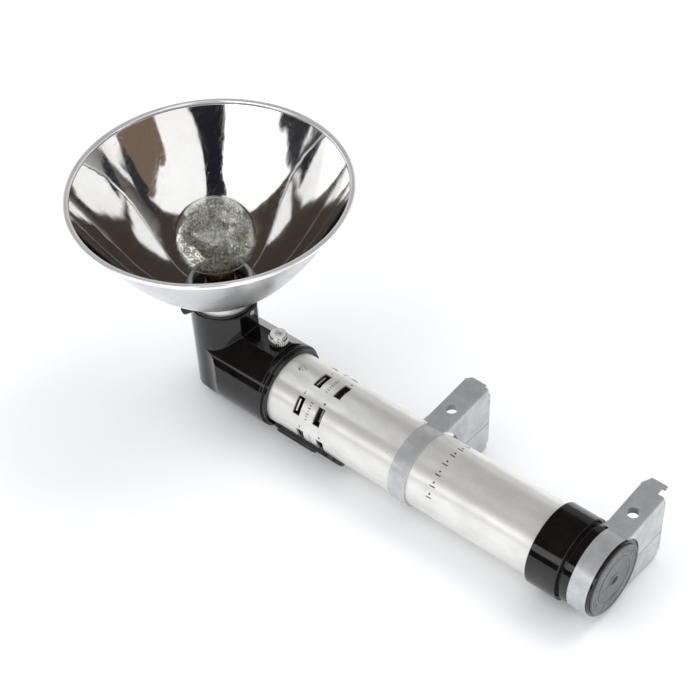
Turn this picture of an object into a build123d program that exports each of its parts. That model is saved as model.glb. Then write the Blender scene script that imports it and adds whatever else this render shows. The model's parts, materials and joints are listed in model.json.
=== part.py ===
from build123d import *
import os
from math import acos, atan2, cos, hypot, radians, sin, sqrt, tan

# Press-camera flashgun: battery-case handle, elbow head, bowl reflector, flashbulb and two clamps.
# Object frame used while modelling: +X runs along the battery case from head to base, +Z is the
# reflector's axis, and the two axes cross at the origin. export() shifts every piece so that the
# origin lies under the middle of the whole flashgun, on the surface that it lies on.
# Millimetres. An angle "round the tube" is measured from +Z towards -Y.

# ---- battery case (tube) ----
TUBE_R = 19.05
TUBE_WALL = 1.0
TUBE_START = 27.0
TUBE_END = 212.0
FIT = 0.05                  # radial clearance of a running fit
GAP = 0.3                   # gap between pieces that only pass each other

# ---- power outlets in the tube ----
OUTLET_SPACING_DEG = 52.7
SLOT_PITCH = 12.7
SLOT_AXIAL = 4.3
SLOT_ACROSS = 9.5
OUTLET_MIDDLE_FRONT = 68.0
OUTLET_MIDDLE_BACK = 71.1
OUTLETS = [
    (-OUTLET_SPACING_DEG, OUTLET_MIDDLE_FRONT),
    (0.0, OUTLET_MIDDLE_BACK),
    (OUTLET_SPACING_DEG, OUTLET_MIDDLE_FRONT),
    (2 * OUTLET_SPACING_DEG, OUTLET_MIDDLE_BACK),
]
BLOCK_START = 49.0
BLOCK_END = 85.0
BLADE_POCKET_ACROSS = 6.8
POCKET_STEP_R = 12.5
POCKET_FLOOR_R = 9.0
CONTACT_THICKNESS = 0.9
CONTACT_OFFSET = -0.9
FRONT_CONTACT_TOP_R = 17.6
REAR_CONTACT_TOP_R = 15.2
CENTRE_CONTACT_R = 2.0
SCREW_X = 51.8

# ---- D cells ----
CELL_R = 16.4
CELL_BODY = 59.8
CELL_NUB = 1.5
CELL_NUB_R = 4.75
CELL_START = 87.0
LINER_IN = 17.0
LINER_OUT = 17.8

# ---- elbow head ----
POST_R = 16.94
POST_TOP = 37.2
POST_RIDGE = 17.4           # distance of the post's flat inner face from the reflector axis
BODY_R = 22.4
BODY_RIDGE = 24.3           # height of the flat platform above the tube axis
RIDGE_HALF = 6.2
FACET_END = 39.5
COLLAR_END = 41.5
STEP_END = 43.5
STEP_R = 21.2
FLARE_R = 16.7
FLARE_DEG = 50.0
NECK_R = 15.1
NECK_IN = 13.8
NECK_BOTTOM = 17.0
POST_BORE_BOTTOM = 16.5
HEAD_CAVITY_R = 12.5
POST_FOOT_ROUND = 2.2
RIDGE_ROUND = 0.6
NECK_SCREW_Y = 2.0
NECK_SCREW_Z = 35.2
LEVER_R = 16.4
LEVER_THICKNESS = 0.7
TAB_DEG = -112.0

# ---- lock knob on the platform ----
KNOB_X = 34.3
KNOB_Y = 2.4
KNOB_R = 5.0
KNOB_CAP_R = 4.4
KNOB_TOP = 30.6
KNURLS = 28
LOCK_STEM_R = 2.0

# ---- reflector ----
RIM_R = 69.14
RIM_TOP = 108.25
BOWL_FOCUS = 17.85
BOWL_VERTEX = 43.1
BOWL_WALL = 0.8
BEAD_R = 1.45
COLLAR_R = 16.0
COLLAR_TOP = 50.5

# ---- flashbulb ----
GLOBE_R = 19.8
GLOBE_Z = 77.8
GLASS_WALL = 0.6
FOIL_R = 18.6
FOIL_WALL = 0.3
BULB_BASE_R = 7.5
BULB_BASE_BOTTOM = 35.0
BULB_BASE_TOP = 50.0
BULB_TIP_BOTTOM = 33.5
GLASS_NECK_R = 7.0

# ---- socket ----
SOCKET_TOP = 46.0
SHELL_OUT = 8.25
SHELL_IN = 7.6
SHELL_TOP = 47.5
PLUNGER_R = 2.0
PLUNGER_BORE_R = 3.3

# ---- trigger switch under the tube ----
SWITCH_DEG = 135.0
PLATE_START = 44.8
PLATE_END = 88.0
PLATE_WIDTH = 13.0
PLATE_R = 21.1
BUTTON_START = 46.4
BUTTON_END = 71.2
BUTTON_WIDTH = 8.0
BUTTON_R = 22.35
BUTTON_TRAVEL = 1.1
STEM_X = 60.0
STEM_R = 1.6
STEM_HOLE_R = 2.2
STEM_INNER = 14.4
STEM_POCKET_FLOOR = 10.0

# ---- base ----
SLEEVE_START = 202.4
SLEEVE_END = 219.0
SLEEVE_R = 21.14
THREAD_R = 17.3
CAP_SHOULDER = 220.5
CAP_RING_R = 20.0
GROOVE_START = 225.0
GROOVE_END = 235.0
FLANGE_END = 236.4
FLANGE_R = 19.6
DISC_R = 18.14
DISC_FACE = 237.4
CAP_CAVITY_R = 14.0
CAP_FLOOR = 231.5

# ---- clamps ----
STRAP_WALL = 1.0
STRAP_WIDTH = 9.8
ARM_WIDTH = 13.8
ARM_OFFSET = -0.8           # the arm is set towards the head from the middle of its strap
ARM_SPLAY_DEG = 5.5
ARM_DROOP_DEG = 1.65
ARM_ROOT_Y = 9.4
ARM_ROOT_Z = 17.6
ARM_REACH = 45.3
SEAM_Z = -3.2
SEAM_GAP = 0.5
LIP = 4.0
FOLD_R = 1.4
LIP_R = 0.9
FOLD_FOOT = 16.4            # below this height an arm has only its web and lip
FOLD_RELIEF = 1.4           # the fold stops this far short of the web's end
TONGUE_INSET = 2.4
TONGUE_SLANT = 2.7
HOOK_NOTCH_Y = 43.0
HOOK_DEPTH = 4.0
MIDDLE_WEB_REACH = 45.3
MIDDLE_SHOULDER = 42.4
BASE_WEB_REACH = 40.4
BASE_SHOULDER = 40.1
HOLE_Y = 23.8
HOLE_R = 3.1
HOLE_COLLAR_R = 4.1
HOLE_COLLAR_DEPTH = 3.0
MIDDLE_CLAMP_X = 126.3
BASE_CLAMP_X = 230.0

# ---- the whole object ----
AXIS_HEIGHT = BODY_R
MIDDLE_X = (DISC_FACE - RIM_R) / 2


def x_cylinder(radius, start, end):
    """Cylinder round the tube axis from x = start to x = end."""
    return Pos((start + end) / 2, 0, 0) * Rot(0, 90, 0) * Cylinder(radius, end - start)


def z_cylinder(radius, bottom, top, x=0.0, y=0.0):
    """Cylinder parallel to the reflector axis."""
    return Pos(x, y, (bottom + top) / 2) * Cylinder(radius, top - bottom)


def x_ring(inner, outer, start, end):
    return x_cylinder(outer, start, end) - x_cylinder(inner, start - 1, end + 1)


def z_ring(inner, outer, bottom, top):
    return z_cylinder(outer, bottom, top) - z_cylinder(inner, bottom - 1, top + 1)


def block(x_range, y_range, z_range):
    """Box given by its low and high coordinates."""
    size = [high - low for low, high in (x_range, y_range, z_range)]
    middle = [(high + low) / 2 for low, high in (x_range, y_range, z_range)]
    return Pos(*middle) * Box(*size)


def round_tube(angle, shape):
    """Turn a shape built above the tube (+Z) to an angle round the tube."""
    return Rot(angle, 0, 0) * shape


def radial_cylinder(radius, low, high, x):
    """Cylinder standing on the tube's top line at x, between two distances from the tube axis."""
    return z_cylinder(radius, low, high, x=x)


def x_revolved(points):
    """Solid of revolution round the tube axis from (x, radius) points."""
    profile = make_face(Polyline([(x, 0, r) for x, r in points], close=True))
    return revolve(profile, Axis.X)


def z_revolved(points):
    """Solid of revolution round the reflector axis from (radius, z) points."""
    profile = make_face(Polyline([(r, 0, z) for r, z in points], close=True))
    return revolve(profile, Axis.Z)


def coil(radius, wire, length, turns):
    """Round-wire coil spring standing on the XY plane, its whole height equal to length."""
    path = Helix(pitch=(length - 2 * wire) / turns, height=length - 2 * wire, radius=radius)
    section = Plane(origin=path @ 0, z_dir=path % 0) * Circle(wire)
    return Pos(0, 0, wire) * sweep(section, path=path)


# ---------------------------------------------------------------- battery case

def outlet_cuts(across, axial, low, high):
    """One radial box per plug slot of the four outlets."""
    cuts = []
    for angle, middle in OUTLETS:
        for side in (-1, 1):
            x = middle + side * SLOT_PITCH / 2
            box = block((x - axial / 2, x + axial / 2), (-across / 2, across / 2), (low, high))
            cuts.append(round_tube(angle, box))
    return cuts


def make_tube():
    tube = x_ring(TUBE_R - TUBE_WALL, TUBE_R, TUBE_START, TUBE_END)
    for cut in outlet_cuts(SLOT_ACROSS, SLOT_AXIAL, 14, 21):
        tube -= cut
    tube -= radial_cylinder(1.25, 15, 21, SCREW_X)
    tube -= round_tube(SWITCH_DEG, radial_cylinder(STEM_HOLE_R, 15, 21, STEM_X))
    return tube


def make_tube_screw():
    """Round-head slotted screw that pins the outlet block in the tube."""
    head = z_cylinder(2.1, TUBE_R - 0.05, TUBE_R + 0.75, x=SCREW_X)
    head = chamfer(head.edges().sort_by(Axis.Z)[-1:], 0.4)
    head -= x_cylinder(TUBE_R, SCREW_X - 3, SCREW_X + 3)
    head -= block((SCREW_X - 3, SCREW_X + 3), (-0.25, 0.25), (TUBE_R + 0.35, TUBE_R + 1))
    return head + z_cylinder(1.2, 14.5, TUBE_R + 0.1, x=SCREW_X)


def make_outlet_block():
    """Moulded insulator inside the tube that carries the plug contacts."""
    body = x_cylinder(TUBE_R - TUBE_WALL - FIT, BLOCK_START, BLOCK_END)
    for cut in outlet_cuts(SLOT_ACROSS, SLOT_AXIAL, POCKET_STEP_R, 19):
        body -= cut
    for cut in outlet_cuts(BLADE_POCKET_ACROSS, SLOT_AXIAL, POCKET_FLOOR_R, 19):
        body -= cut
    body -= radial_cylinder(1.2, 14, 19, SCREW_X)
    pocket = radial_cylinder(STEM_HOLE_R, STEM_POCKET_FLOOR, 19, STEM_X)
    body -= round_tube(SWITCH_DEG, pocket)
    body -= x_cylinder(CENTRE_CONTACT_R, BLOCK_START - 1, BLOCK_END + 1)
    return body


def make_outlet_contacts():
    """A plated leaf in each plug slot; the rear one of an outlet lies deeper."""
    leaves = []
    half = CONTACT_THICKNESS / 2
    for angle, middle in OUTLETS:
        for side, top in ((-1, FRONT_CONTACT_TOP_R), (1, REAR_CONTACT_TOP_R)):
            x = middle + side * SLOT_PITCH / 2 + CONTACT_OFFSET
            leaf = block((x - half, x + half), (-3.2, 3.2), (POCKET_FLOOR_R, top))
            leaves.append(round_tube(angle, leaf))
    return Compound(children=leaves)


def make_centre_contact():
    """Brass rod through the outlet block; the head's rod turns against its front end."""
    return x_cylinder(CENTRE_CONTACT_R, BLOCK_START - 1.5, BLOCK_END)


def make_positive_contact():
    """Dished brass disc that the front cell's nub presses on."""
    return x_cylinder(9.0, BLOCK_END, CELL_START - 1.2) + x_cylinder(4.0, BLOCK_END, CELL_START)


def make_battery_cell(start):
    nub = x_cylinder(CELL_NUB_R, start, start + CELL_NUB)
    body = x_cylinder(CELL_R, start + CELL_NUB, start + CELL_NUB + CELL_BODY)
    body = fillet(body.edges(), 1.0)
    return nub + body


def make_battery_liner():
    return x_ring(LINER_IN, LINER_OUT, CELL_START - 1, TUBE_END - 0.5)


# ---------------------------------------------------------------- trigger switch

def stadium_pad(start, end, width, inner, outer):
    """Pad with round ends that follows the tube, between two distances from its axis."""
    outline = SlotOverall(end - start, width)
    prism = Pos((start + end) / 2, 0, 0) * extrude(outline, 40)
    return prism & x_ring(inner, outer, start - 1, end + 1)


def make_switch_plate():
    pad = stadium_pad(PLATE_START, PLATE_END, PLATE_WIDTH, TUBE_R, PLATE_R)
    width = BUTTON_WIDTH + 2 * GAP
    hole = stadium_pad(BUTTON_START - GAP, BUTTON_END + GAP, width, TUBE_R - 1, PLATE_R + 1)
    return round_tube(SWITCH_DEG, pad - hole)


def make_switch_button():
    bar = stadium_pad(BUTTON_START, BUTTON_END, BUTTON_WIDTH, TUBE_R + BUTTON_TRAVEL + 0.15, BUTTON_R)
    stem = radial_cylinder(STEM_R, STEM_INNER, TUBE_R + BUTTON_TRAVEL + 1, STEM_X)
    return round_tube(SWITCH_DEG, bar + stem)


def make_switch_spring():
    spring = coil(1.5, 0.2, STEM_INNER - STEM_POCKET_FLOOR - 0.7, 5)
    return round_tube(SWITCH_DEG, Pos(STEM_X, 0, STEM_POCKET_FLOOR + 0.6) * spring)


def make_switch_leaf():
    """Brass disc at the floor of the switch's pocket that the spring stands on."""
    disc = radial_cylinder(STEM_HOLE_R - FIT, STEM_POCKET_FLOOR, STEM_POCKET_FLOOR + 0.5, STEM_X)
    return round_tube(SWITCH_DEG, disc)


# ---------------------------------------------------------------- elbow head

def teardrop(radius, ridge, half):
    """Circle with two tangent flats that rise to a flat ridge on the local +Y side."""
    tangent = atan2(half, ridge) + acos(radius / hypot(half, ridge))
    side = (radius * sin(tangent), radius * cos(tangent))
    wedge = Polyline([(-half, ridge), (half, ridge), side, (0, 0), (-side[0], side[1])], close=True)
    return Circle(radius) + make_face(wedge)


def flare_plan():
    """Seen from above, the head widens from the post to the horizontal body on two hollow curves."""
    angle = radians(FLARE_DEG)
    centre_y = POST_R + FLARE_R
    middle = (FLARE_R * sin(angle / 2), centre_y - FLARE_R * cos(angle / 2))
    end = (FLARE_R * sin(angle), centre_y - FLARE_R * cos(angle))
    left = ThreePointArc((0, POST_R), middle, end)
    right = ThreePointArc((0, -POST_R), (middle[0], -middle[1]), (end[0], -end[1]))
    outer = Polyline([end, (STEP_END, end[1]), (STEP_END, -end[1]), (end[0], -end[1])])
    inner = Line((0, -POST_R), (0, POST_R))
    return make_face([left, outer, right, inner])


def on_ridge(edge):
    """True for the edges round the post's top, the platform and the post's flat inner face."""
    middle = edge @ 0.5
    top = abs(middle.Z - POST_TOP) < 0.01
    flat = abs(middle.X - POST_RIDGE) < 0.01 and middle.Z > BODY_RIDGE - 0.01
    side = abs(abs(middle.Y) - RIDGE_HALF) < 0.01 and abs(middle.Z - BODY_RIDGE) < 0.01
    return top or flat or side


def make_head_housing():
    """Moulded elbow: a vertical post and a horizontal body whose flats meet on a mitre."""
    post_plane = Plane(origin=(0, 0, -BODY_R - 1), x_dir=(0, -1, 0), z_dir=(0, 0, 1))
    post = extrude(post_plane * teardrop(POST_R, POST_RIDGE, RIDGE_HALF), POST_TOP + BODY_R + 1)
    keep = x_cylinder(BODY_R, -30, 30) + block((-30, 30), (-30, 30), (0, 60))
    post = post & keep
    post = fillet(post.edges().sort_by(SortBy.LENGTH)[-1:], POST_FOOT_ROUND)
    body = extrude(Plane.YZ * teardrop(BODY_R, BODY_RIDGE, RIDGE_HALF), FACET_END)
    flare = extrude(Plane.XY.offset(-30) * flare_plan(), 60)
    head = post + (body & flare)
    head = fillet(head.edges().filter_by(on_ridge), RIDGE_ROUND)
    collar = x_cylinder(BODY_R, FACET_END - 1, COLLAR_END)
    collar = chamfer(collar.edges().sort_by(Axis.X)[-1:], 0.3)
    step = x_cylinder(STEP_R, COLLAR_END - 1, STEP_END)
    head = head + collar + chamfer(step.edges().sort_by(Axis.X)[-1:], 0.3)
    head -= x_ring(BODY_R - 0.25, BODY_R + 5, FACET_END, FACET_END + 0.4)
    head -= z_cylinder(NECK_R + FIT, POST_BORE_BOTTOM, POST_TOP + 1)
    head -= z_cylinder(HEAD_CAVITY_R, -14, POST_BORE_BOTTOM + 1)
    head -= x_cylinder(HEAD_CAVITY_R, 0, TUBE_START)
    head -= x_cylinder(TUBE_R + FIT, TUBE_START - 0.2, STEP_END + 1)
    head -= z_cylinder(LOCK_STEM_R + FIT, 15, BODY_RIDGE + 1, x=KNOB_X, y=KNOB_Y)
    head -= neck_screw_hole()
    return head


def neck_screw_hole():
    middle = Pos((POST_RIDGE + NECK_R) / 2, NECK_SCREW_Y, NECK_SCREW_Z)
    return middle * Rot(0, 90, 0) * Cylinder(0.9, 6)


def make_neck_screw():
    """Small slotted screw in the post's flat face, beside the reflector neck."""
    start = NECK_R + 0.4
    shank = Rot(0, 90, 0) * Cylinder(0.85, POST_RIDGE - start)
    shank = Pos((POST_RIDGE + start) / 2, NECK_SCREW_Y, NECK_SCREW_Z) * shank
    head = Pos(POST_RIDGE + 0.25, NECK_SCREW_Y, NECK_SCREW_Z) * Rot(0, 90, 0) * Cylinder(1.4, 0.5)
    slot = Pos(POST_RIDGE + 0.5, NECK_SCREW_Y, NECK_SCREW_Z) * Box(0.5, 0.35, 4)
    return shank + head - slot


def make_head_rod():
    """Brass rod on the tube axis that carries the current across the head's swivel."""
    return x_cylinder(1.5, -8, BLOCK_START - 1.5 - 0.05)


def make_terminal_block():
    """Insulating disc that holds the rod and the stud inside the head."""
    disc = z_cylinder(HEAD_CAVITY_R - FIT, -10, 12)
    disc = disc - block((HEAD_CAVITY_R - 3, 30), (-30, 30), (-30, 30))
    return disc - x_cylinder(1.5, -8, 30) - z_cylinder(1.5, 0, 20)


def make_terminal_stud():
    """Brass stud that rises from the rod to the reflector's contact rivet."""
    return z_cylinder(1.5, 0, NECK_BOTTOM - 0.1) - x_cylinder(1.5, -10, 10)


# ---------------------------------------------------------------- lock knob

def make_lock_knob():
    rim = z_cylinder(KNOB_R, BODY_RIDGE + 1.5, KNOB_TOP - 1.9, x=KNOB_X, y=KNOB_Y)
    cap = z_cylinder(KNOB_CAP_R, BODY_RIDGE + 1.5, KNOB_TOP, x=KNOB_X, y=KNOB_Y)
    neck = z_cylinder(3.4, BODY_RIDGE + GAP, BODY_RIDGE + 2, x=KNOB_X, y=KNOB_Y)
    knob = rim + chamfer(cap.edges().sort_by(Axis.Z)[-1:], 0.4) + neck
    for turn in range(KNURLS):
        angle = radians(360 * turn / KNURLS)
        x = KNOB_X + (KNOB_R + 0.1) * cos(angle)
        y = KNOB_Y + (KNOB_R + 0.1) * sin(angle)
        knob -= z_cylinder(0.3, BODY_RIDGE + 1, KNOB_TOP - 1, x=x, y=y)
    return knob - z_cylinder(1.7, BODY_RIDGE, KNOB_TOP + 1, x=KNOB_X, y=KNOB_Y)


def make_lock_screw():
    """Slotted screw through the knob; its tip bears on the tube."""
    core = z_cylinder(1.7, BODY_RIDGE, KNOB_TOP + 0.1, x=KNOB_X, y=KNOB_Y)
    stem = z_cylinder(LOCK_STEM_R, TUBE_R + 0.12, BODY_RIDGE + GAP, x=KNOB_X, y=KNOB_Y)
    slot = Pos(KNOB_X, KNOB_Y, KNOB_TOP) * Rot(0, 0, 25) * Box(4, 0.6, 1.2)
    return core + stem - slot


# ---------------------------------------------------------------- reflector and socket

def bowl_height(radius):
    """Height of the bowl's outside at a radius: a paraboloid."""
    return BOWL_VERTEX + radius ** 2 / (4 * BOWL_FOCUS)


def make_reflector_bowl():
    """Spun paraboloid with a rolled edge, open at the bottom for the neck."""
    bead_middle = RIM_R - BEAD_R
    top = RIM_TOP - BEAD_R
    rim = sqrt(4 * BOWL_FOCUS * (top - BOWL_VERTEX))
    steps = 9
    outer = [(NECK_R + (rim - NECK_R) * i / steps) for i in range(steps + 1)]
    outside = Spline([(r, 0, bowl_height(r)) for r in outer])
    inside = Spline([(r, 0, bowl_height(r) + wall_rise(r)) for r in outer])
    foot = Line(outside @ 0, inside @ 0)
    lip = Line(outside @ 1, inside @ 1)
    bowl = revolve(make_face([outside, inside, foot, lip]), Axis.Z)
    section = Pos(bead_middle, 0, top) * Rot(90, 0, 0) * Circle(BEAD_R)
    bead = revolve(section, Axis.Z)
    return bowl + bead


def wall_rise(radius):
    """Vertical thickness that gives the bowl its wall at a radius."""
    slope = radius / (2 * BOWL_FOCUS)
    return BOWL_WALL * sqrt(1 + slope ** 2)


def make_reflector_neck():
    return z_ring(NECK_IN, NECK_R, NECK_BOTTOM, COLLAR_TOP - 0.7)


def make_reflector_collar():
    """Rolled ring inside the bowl that caps the neck."""
    foot = bowl_height(COLLAR_R) + wall_rise(COLLAR_R) + 0.02
    lip = COLLAR_TOP - 0.7
    points = [
        (NECK_R, foot), (COLLAR_R, foot), (COLLAR_R, COLLAR_TOP - 0.5), (COLLAR_R - 0.5, COLLAR_TOP),
        (NECK_IN + 0.4, COLLAR_TOP), (NECK_IN, COLLAR_TOP - 0.4), (NECK_IN, lip), (NECK_R, lip),
    ]
    return z_revolved(points)


def make_neck_flange():
    """Ring that holds the bowl against the collar from below."""
    top = bowl_height(NECK_R) - 0.02
    return z_ring(NECK_R, 18.2, top - 2.0, top)


def make_release_lever():
    """Flat ring on top of the post with a finger tab."""
    low = POST_TOP + GAP
    ring = z_ring(NECK_R + GAP, LEVER_R, low, low + LEVER_THICKNESS)
    tab = block((LEVER_R - 0.6, 22.3), (-2.6, 2.6), (low, low + LEVER_THICKNESS))
    tab = fillet(tab.edges().filter_by(Axis.Z).sort_by(Axis.X)[-2:], 1.5)
    return Rot(0, 0, TAB_DEG) * (ring + tab)


def make_socket_insulator():
    body = z_cylinder(NECK_IN, NECK_BOTTOM + 0.3, SOCKET_TOP)
    body -= z_cylinder(SHELL_OUT, 30, SOCKET_TOP + 1)
    body -= z_cylinder(PLUNGER_BORE_R, 19.3, 31)
    body -= z_cylinder(1.6, NECK_BOTTOM - 1, 20)
    body -= block((-9.0, 9.0), (-1.4, 1.4), (38, SOCKET_TOP + 1))
    for radius, depth in ((12.3, 1.2), (10.6, 2.4)):
        body -= z_ring(SHELL_OUT - 1, radius, SOCKET_TOP - depth, SOCKET_TOP + 1)
    return body


def make_socket_shell():
    """Slotted brass shell; the bulb's two base pins slide down its slots."""
    shell = z_ring(SHELL_IN, SHELL_OUT, 30, SHELL_TOP)
    slot = block((-20, 20), (-1.3, 1.3), (38, SHELL_TOP + 1))
    return shell - slot


def make_socket_rivet():
    return z_cylinder(1.6, NECK_BOTTOM, 19.3) + z_cylinder(3.0, 19.3, 19.8)


def make_socket_plunger():
    top = BULB_TIP_BOTTOM - FIT
    return z_cylinder(PLUNGER_R, 29, top) + z_cylinder(3.2, 28.2, 29.4)


def make_plunger_spring():
    return Pos(0, 0, 19.9) * coil(2.4, 0.3, 28.1 - 19.9, 5)


# ---------------------------------------------------------------- flashbulb

def globe_profile(radius, neck, bottom):
    """Half section of a globe that runs down into a round neck: arc, flare and straight."""
    join = radians(38)
    start = (neck, 0, bottom)
    waist = (neck, 0, bottom + 6)
    meet = (radius * sin(join), 0, GLOBE_Z - radius * cos(join))
    side = (radius * sin(radians(100)), 0, GLOBE_Z - radius * cos(radians(100)))
    top = (0, 0, GLOBE_Z + radius)
    straight = Line(start, waist)
    flare = Spline([waist, meet], tangents=[(0, 0, 1), (cos(join), 0, sin(join))])
    ball = ThreePointArc(meet, side, top)
    return [straight, flare, ball]


def bulb_solid(radius, neck, bottom):
    lines = globe_profile(radius, neck, bottom)
    axis = Line(lines[-1] @ 1, (0, 0, bottom))
    foot = Line((0, 0, bottom), lines[0] @ 0)
    return revolve(make_face(lines + [axis, foot]), Axis.Z)


def make_bulb_glass():
    outside = bulb_solid(GLOBE_R, GLASS_NECK_R, BULB_BASE_TOP - 4)
    inside = bulb_solid(GLOBE_R - GLASS_WALL, GLASS_NECK_R - GLASS_WALL, BULB_BASE_TOP - 5)
    return outside - inside


def make_bulb_foil():
    """Shredded foil, as the thin round shell that it springs out to."""
    ball = Pos(0, 0, GLOBE_Z) * (Sphere(FOIL_R) - Sphere(FOIL_R - FOIL_WALL))
    return ball - z_cylinder(3.8, 55, 70)


def make_bulb_leads():
    """Glass stem in the neck with the two wires that hold the filament."""
    stem = z_cylinder(3.2, BULB_BASE_TOP - 4, 60)
    wires = []
    for side in (-1, 1):
        wires.append(z_cylinder(0.3, 60, 68, x=side * 1.8))
    bridge = Pos(0, 0, 67.8) * Rot(0, 90, 0) * Cylinder(0.2, 3.8)
    return stem + wires[0] + wires[1] + bridge


def make_bulb_base():
    shell = z_ring(GLASS_NECK_R, BULB_BASE_R, BULB_BASE_BOTTOM, BULB_BASE_TOP)
    for side in (-1, 1):
        shell += Pos(side * (BULB_BASE_R + 0.3), 0, 42) * Rot(0, 90, 0) * Cylinder(0.95, 1.6)
    return shell


def make_bulb_insulator():
    return z_cylinder(GLASS_NECK_R, BULB_BASE_BOTTOM, 38) - z_cylinder(2.2, 30, 40)


def make_bulb_tip():
    return z_cylinder(2.2, BULB_TIP_BOTTOM, 38)


# ---------------------------------------------------------------- clamps

def arm_plan(web_reach, shoulder, hooked):
    """Outline of a flange seen from above: a tongue at the tip, relieved where the fold ends."""
    low_x = ARM_OFFSET - ARM_WIDTH / 2
    high_x = ARM_OFFSET + ARM_WIDTH / 2
    fold_end = web_reach - FOLD_RELIEF
    tongue_x = high_x - TONGUE_INSET
    hook_x = high_x - HOOK_DEPTH
    relief = [(tongue_x, fold_end)]
    if hooked:
        relief = [(tongue_x, HOOK_NOTCH_Y), (hook_x, HOOK_NOTCH_Y), (hook_x, fold_end)]
    tongue = [(low_x, shoulder), (low_x + TONGUE_SLANT, ARM_REACH), (tongue_x, ARM_REACH)]
    corners = [(low_x, ARM_ROOT_Y)] + tongue + relief + [(high_x, fold_end), (high_x, ARM_ROOT_Y)]
    return make_face(Polyline(corners, close=True))


def below_flange(drop):
    """Everything under a plane that lies at a distance under the sloping flange's top."""
    rise = tan(radians(ARM_SPLAY_DEG))
    near = ARM_ROOT_Z - drop - ARM_ROOT_Y * rise
    far = near + 60 * rise
    profile = Polyline([(0, 0, near), (0, 60, far), (0, 60, -40), (0, 0, -40)], close=True)
    return extrude(make_face(profile), 2 * ARM_WIDTH, both=True)


def top_edge_at(shape, x):
    """Highest edge whose middle lies at x, in a list as fillet() takes it."""
    edges = shape.edges().filter_by(lambda edge: abs((edge @ 0.5).X - x) < 0.01)
    return edges.sort_by(Axis.Z)[-1:]


def arm_half(web_reach, shoulder, hooked, depth):
    """Upper half of a clamp arm: flange, lip, web down to z = depth, and a drawn hole collar."""
    low_x = ARM_OFFSET - ARM_WIDTH / 2
    high_x = ARM_OFFSET + ARM_WIDTH / 2
    plan = extrude(Plane.XY.offset(FOLD_FOOT) * arm_plan(web_reach, shoulder, hooked), 20)
    foot = block((low_x, high_x), (ARM_ROOT_Y, web_reach), (depth, FOLD_FOOT))
    full = (plan + foot) & below_flange(0)
    open_side = block((low_x - 5, high_x - STRAP_WALL), (-5, 80), (-60, 60))
    half = full - (below_flange(STRAP_WALL) & open_side)
    half = fillet(top_edge_at(half, high_x), FOLD_R)
    length = (ARM_ROOT_Y + 4, shoulder)
    lip = full & block((low_x, low_x + STRAP_WALL), length, (ARM_ROOT_Z - LIP, 60))
    half -= block((low_x - 1, low_x + 0.5), length, (FOLD_FOOT, 60))
    half += fillet(top_edge_at(lip, low_x), LIP_R)
    collar = z_cylinder(HOLE_COLLAR_R, 0, 40, x=ARM_OFFSET, y=HOLE_Y) & below_flange(0)
    half += collar - below_flange(HOLE_COLLAR_DEPTH + STRAP_WALL)
    half -= z_cylinder(HOLE_R, -40, 40, x=ARM_OFFSET, y=HOLE_Y)
    relief = TUBE_R + STRAP_WALL + 0.5
    half -= x_cylinder(relief, STRAP_WIDTH / 2, 40)
    half -= x_cylinder(relief, -40, -STRAP_WIDTH / 2)
    return half - x_cylinder(TUBE_R + FIT, -40, 40)


def make_clamp(middle, web_reach, shoulder, hooked):
    """Strap bent round the tube whose two ends are half-channels that meet to make the arm."""
    inner = TUBE_R + FIT
    strap = x_ring(inner, inner + STRAP_WALL, -STRAP_WIDTH / 2, STRAP_WIDTH / 2)
    strap -= block((-20, 20), (ARM_ROOT_Y, 40), (-40, 40))
    upper = arm_half(web_reach, shoulder, hooked, SEAM_Z + SEAM_GAP / 2)
    lower = arm_half(web_reach, shoulder, hooked, -SEAM_Z + SEAM_GAP / 2).mirror(Plane.XY)
    return Pos(middle, 0, 0) * Rot(-ARM_DROOP_DEG, 0, 0) * (strap + upper + lower)


# ---------------------------------------------------------------- base

def make_base_sleeve():
    """Moulded ring on the end of the tube, threaded inside for the cap."""
    outside = x_cylinder(SLEEVE_R, SLEEVE_START, SLEEVE_END)
    outside = fillet(outside.edges(), 0.5)
    bore = x_cylinder(TUBE_R, SLEEVE_START - 1, TUBE_END)
    return outside - bore - x_cylinder(THREAD_R, TUBE_END - 1, SLEEVE_END + 1)


def make_base_cap():
    """Screw cap with the groove that the base clamp turns in."""
    points = [
        (TUBE_END + 0.2, CAP_CAVITY_R), (TUBE_END + 0.2, THREAD_R - 0.08),
        (SLEEVE_END + 0.1, THREAD_R - 0.08), (SLEEVE_END + 0.1, 18.9), (CAP_SHOULDER, 18.9),
        (CAP_SHOULDER, CAP_RING_R - 0.4), (CAP_SHOULDER + 0.4, CAP_RING_R),
        (GROOVE_START, CAP_RING_R), (GROOVE_START, TUBE_R), (GROOVE_END, TUBE_R),
        (GROOVE_END, FLANGE_R), (FLANGE_END - 0.4, FLANGE_R), (FLANGE_END, FLANGE_R - 0.4),
        (FLANGE_END, DISC_R + 0.05), (FLANGE_END - 0.9, DISC_R + 0.05), (FLANGE_END - 0.9, 2.5),
        (CAP_FLOOR, 2.5), (CAP_FLOOR, CAP_CAVITY_R),
    ]
    return x_revolved(points)


def make_end_disc():
    """Inlaid end plate with a plain ring and a circle of short ribs."""
    back = FLANGE_END - 0.9
    face = DISC_FACE - 0.35
    disc = x_ring(2.4, DISC_R, back, face)
    disc += x_ring(DISC_R - 1.0, DISC_R, face - 0.1, DISC_FACE)
    disc += x_ring(12.0, 12.6, face - 0.1, DISC_FACE - 0.05)
    disc += x_ring(2.4, 3.6, face - 0.1, DISC_FACE)
    ribs = 48
    for turn in range(ribs):
        length = 2.0 if turn % 4 else 3.0
        rib = block((face - 0.1, DISC_FACE - 0.1), (-0.3, 0.3), (14.9 - length / 2, 14.9 + length / 2))
        disc += round_tube(360 * turn / ribs, rib)
    return disc - round_tube(90, block((face - 0.25, DISC_FACE + 1), (-0.2, 0.2), (-11.5, 11.5)))


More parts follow.
